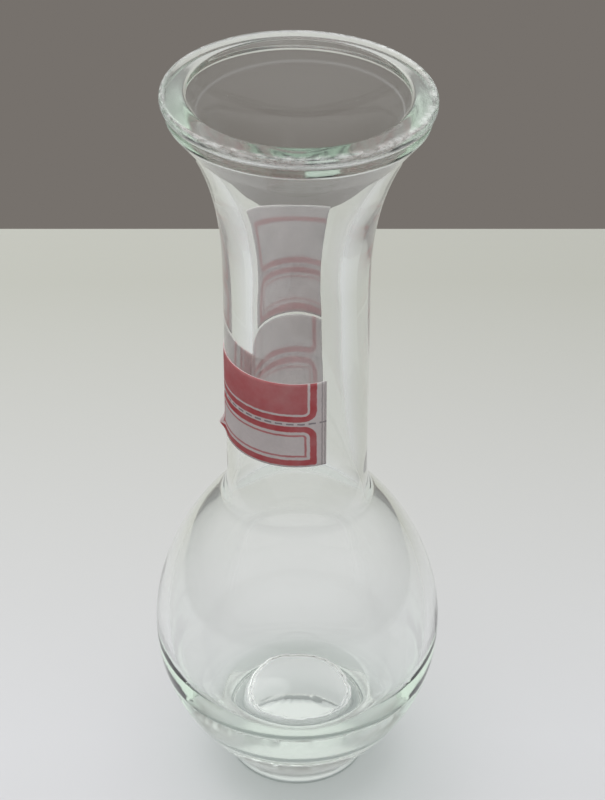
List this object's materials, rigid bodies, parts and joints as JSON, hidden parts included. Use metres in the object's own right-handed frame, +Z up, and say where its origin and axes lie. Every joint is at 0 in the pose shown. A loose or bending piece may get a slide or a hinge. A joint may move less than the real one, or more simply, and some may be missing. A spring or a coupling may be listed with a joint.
{
  "type": "bud vase",
  "caption": "Clear glass bud vase for cut stems: round bulb on a small foot, thick straight neck with blank paper labels, and a trumpet mouth with a stepped ring rim.",
  "frame": {"origin": "middle of the foot, on the surface that the vase stands on", "axes": "+Z up along the axis of the vase, -Y towards the front, where the lower label shows, +X to the viewer's right"},
  "size_m": [0.0638, 0.0638, 0.1715],
  "materials": {
    "clear_glass": "clear, faintly green, fire-polished",
    "label_paper": "matt paper with plain red frames, blank"
  },
  "bodies": {
    "root": {"vase_body": "clear_glass", "front_label": "label_paper", "back_label": "label_paper"}
  },
  "joints": []
}
